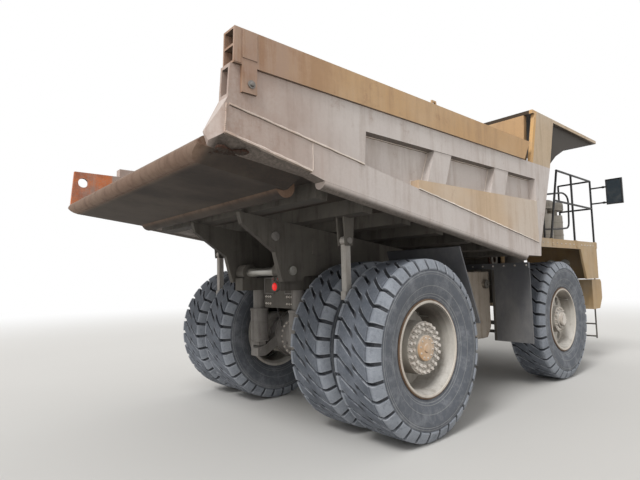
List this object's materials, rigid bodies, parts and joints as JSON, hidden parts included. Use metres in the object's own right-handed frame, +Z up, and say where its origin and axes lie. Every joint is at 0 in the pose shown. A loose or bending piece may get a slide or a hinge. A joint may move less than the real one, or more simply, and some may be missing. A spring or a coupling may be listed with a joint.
{
  "type": "mining dump truck",
  "caption": "Rigid-frame mining dump truck with a tipping bed, canopy, twin rear wheels, steered front wheels, hoists and a left-hand cab.",
  "frame": {"origin": "middle of the whole truck's length and width, at the ground", "axes": "+X forward, +Y to the truck's left, +Z up"},
  "size_m": [9.63, 5.11, 4.6699],
  "materials": {
    "bed_paint": "dusty worn paint",
    "ochre_paint": "dusty ochre paint",
    "yellow_paint": "dusty yellow paint",
    "dark_steel": "dusty dark steel",
    "tank_paint": "dirty beige with rust",
    "rim_paint": "dusty beige",
    "tyre": "dusty",
    "rod_steel": "worn",
    "black_tube": "black",
    "rubber": "dusty",
    "glass": "clear",
    "lamp_lens": "clear",
    "red_lens": "red",
    "seat_fabric": "dark",
    "cab_trim": "dark grey"
  },
  "bodies": {
    "chassis": {"frame": "dark_steel", "bed_pivot_pin": "rod_steel", "bumper": "yellow_paint", "engine_block": "dark_steel", "driveline": "dark_steel", "rear_axle_housing": "dark_steel", "suspension_struts": "rod_steel", "fuel_tank": "tank_paint", "hydraulic_tank": "tank_paint", "hood": "yellow_paint", "radiator_grille": "dark_steel", "decks": "yellow_paint", "fenders": "yellow_paint", "ladders": "dark_steel", "handrails": "black_tube", "mirrors": "black_tube", "headlamps": "lamp_lens", "tail_lamps": "red_lens", "air_cleaners": "dark_steel", "exhaust_pipe": "dark_steel", "mud_flaps": "rubber", "cab_shell": "yellow_paint", "cab_glass": "glass", "cab_console": "cab_trim", "seat": "seat_fabric", "steering_wheel": "black_tube"},
    "door": {"door_left": "yellow_paint", "door_glass": "glass"},
    "bed": {"bed_floor": "bed_paint", "bed_wall_right": "bed_paint", "bed_wall_left": "bed_paint", "bed_gussets": "ochre_paint", "bed_front_wall": "bed_paint", "bed_canopy": "yellow_paint", "sideboard_right": "ochre_paint", "bed_ribs": "dark_steel", "bed_longerons": "dark_steel"},
    "rock_ejector_left": {"rock_ejector_left": "dark_steel"},
    "rock_ejector_right": {"rock_ejector_right": "dark_steel"},
    "tie_rod": {"tie_rod": "dark_steel"},
    "hoist_barrel_left": {"hoist_barrel_left": "dark_steel"},
    "hoist_stage_left": {"hoist_stage_left": "rod_steel"},
    "hoist_rod_left": {"hoist_rod_left": "rod_steel"},
    "knuckle_left": {"knuckle_left": "dark_steel"},
    "steer_barrel_left": {"steer_barrel_left": "dark_steel"},
    "steer_rod_left": {"steer_rod_left": "rod_steel"},
    "front_wheel_left": {"front_rim_left": "rim_paint", "front_tyre_left": "tyre"},
    "rear_wheel_left": {"rear_rim_left": "rim_paint", "rear_tyres_left": "tyre"},
    "hoist_barrel_right": {"hoist_barrel_right": "dark_steel"},
    "hoist_stage_right": {"hoist_stage_right": "rod_steel"},
    "hoist_rod_right": {"hoist_rod_right": "rod_steel"},
    "knuckle_right": {"knuckle_right": "dark_steel"},
    "steer_barrel_right": {"steer_barrel_right": "dark_steel"},
    "steer_rod_right": {"steer_rod_right": "rod_steel"},
    "front_wheel_right": {"front_rim_right": "rim_paint", "front_tyre_right": "tyre"},
    "rear_wheel_right": {"rear_rim_right": "rim_paint", "rear_tyres_right": "tyre"}
  },
  "joints": [
    {"name": "bed_tip", "type": "hinge", "parent": "chassis", "child": "bed", "pos_m": [-2.765, 0, 2.02], "axis": [0, -1, 0], "range_deg": [0, 53]},
    {"name": "steer", "type": "hinge", "parent": "chassis", "child": "knuckle_left", "pos_m": [2.485, 1.1, 1.06], "axis": [0, 0, 1], "range_deg": [-31, 31]},
    {"name": "steer_right", "type": "hinge", "parent": "chassis", "child": "knuckle_right", "pos_m": [2.485, -1.1, 1.06], "axis": [0, 0, 1], "range_deg": [-31.2, 31.2]},
    {"name": "tie_rod_swing", "type": "hinge", "parent": "knuckle_left", "child": "tie_rod", "pos_m": [1.985, 1.1, 0.815], "axis": [0, 0, 1], "range_deg": [-31.2, 31.2]},
    {"name": "hoist_swing_left", "type": "hinge", "parent": "chassis", "child": "hoist_barrel_left", "pos_m": [-0.165, 0.77, 0.85], "axis": [0, -1, 0], "range_deg": [0, 35]},
    {"name": "hoist_stage_slide_left", "type": "slide", "parent": "hoist_barrel_left", "child": "hoist_stage_left", "axis": [0.3773, 0, 0.9261], "range_m": [0, 1.22]},
    {"name": "hoist_rod_slide_left", "type": "slide", "parent": "hoist_stage_left", "child": "hoist_rod_left", "axis": [0.3773, 0, 0.9261], "range_m": [0, 1.22]},
    {"name": "rock_ejector_swing_left", "type": "hinge", "parent": "bed", "child": "rock_ejector_left", "pos_m": [-2.615, 1.5, 2.35], "axis": [0, -1, 0], "range_deg": [-60, 15]},
    {"name": "steer_barrel_swing_left", "type": "hinge", "parent": "chassis", "child": "steer_barrel_left", "pos_m": [2.185, 0.35, 0.965], "axis": [0, 0, 1], "range_deg": [-5, 5]},
    {"name": "steer_rod_slide_left", "type": "slide", "parent": "steer_barrel_left", "child": "steer_rod_left", "axis": [-0.1465, 0.9892, 0], "range_m": [-0.22, 0.22]},
    {"name": "front_wheel_spin_left", "type": "hinge", "parent": "knuckle_left", "child": "front_wheel_left", "pos_m": [2.485, 1.71, 1.06], "axis": [0, 1, 0], "continuous": true},
    {"name": "rear_wheel_spin_left", "type": "hinge", "parent": "chassis", "child": "rear_wheel_left", "pos_m": [-1.915, 1.5, 1.06], "axis": [0, 1, 0], "continuous": true},
    {"name": "hoist_swing_right", "type": "hinge", "parent": "chassis", "child": "hoist_barrel_right", "pos_m": [-0.165, -0.77, 0.85], "axis": [0, -1, 0], "range_deg": [0, 35]},
    {"name": "hoist_stage_slide_right", "type": "slide", "parent": "hoist_barrel_right", "child": "hoist_stage_right", "axis": [0.3773, 0, 0.9261], "range_m": [0, 1.22]},
    {"name": "hoist_rod_slide_right", "type": "slide", "parent": "hoist_stage_right", "child": "hoist_rod_right", "axis": [0.3773, 0, 0.9261], "range_m": [0, 1.22]},
    {"name": "rock_ejector_swing_right", "type": "hinge", "parent": "bed", "child": "rock_ejector_right", "pos_m": [-2.615, -1.5, 2.35], "axis": [0, -1, 0], "range_deg": [-60, 15]},
    {"name": "steer_barrel_swing_right", "type": "hinge", "parent": "chassis", "child": "steer_barrel_right", "pos_m": [2.185, -0.35, 0.965], "axis": [0, 0, 1], "range_deg": [-5, 5]},
    {"name": "steer_rod_slide_right", "type": "slide", "parent": "steer_barrel_right", "child": "steer_rod_right", "axis": [-0.1465, -0.9892, 0], "range_m": [-0.22, 0.22]},
    {"name": "front_wheel_spin_right", "type": "hinge", "parent": "knuckle_right", "child": "front_wheel_right", "pos_m": [2.485, -1.71, 1.06], "axis": [0, 1, 0], "continuous": true},
    {"name": "rear_wheel_spin_right", "type": "hinge", "parent": "chassis", "child": "rear_wheel_right", "pos_m": [-1.915, -1.5, 1.06], "axis": [0, 1, 0], "continuous": true},
    {"name": "door_open", "type": "hinge", "parent": "chassis", "child": "door", "pos_m": [2.862, 1.622, 3.3], "axis": [0, 0, 1], "range_deg": [-80, 0]}
  ],
  "couplings": [
    {"joint": "steer_right", "follows": "steer", "ratio": 1},
    {"joint": "tie_rod_swing", "follows": "steer", "ratio": -1},
    {"joint": "hoist_swing_left", "follows": "bed_tip", "ratio": 0.656},
    {"joint": "hoist_stage_slide_left", "follows": "bed_tip", "m_per_rad": 1.3134},
    {"joint": "hoist_rod_slide_left", "follows": "bed_tip", "m_per_rad": 1.3134},
    {"joint": "steer_barrel_swing_left", "follows": "steer", "ratio": 0.128},
    {"joint": "steer_rod_slide_left", "follows": "steer", "m_per_rad": -0.3987},
    {"joint": "hoist_swing_right", "follows": "bed_tip", "ratio": 0.656},
    {"joint": "hoist_stage_slide_right", "follows": "bed_tip", "m_per_rad": 1.3134},
    {"joint": "hoist_rod_slide_right", "follows": "bed_tip", "m_per_rad": 1.3134},
    {"joint": "steer_barrel_swing_right", "follows": "steer", "ratio": 0.128},
    {"joint": "steer_rod_slide_right", "follows": "steer", "m_per_rad": 0.3987}
  ]
}
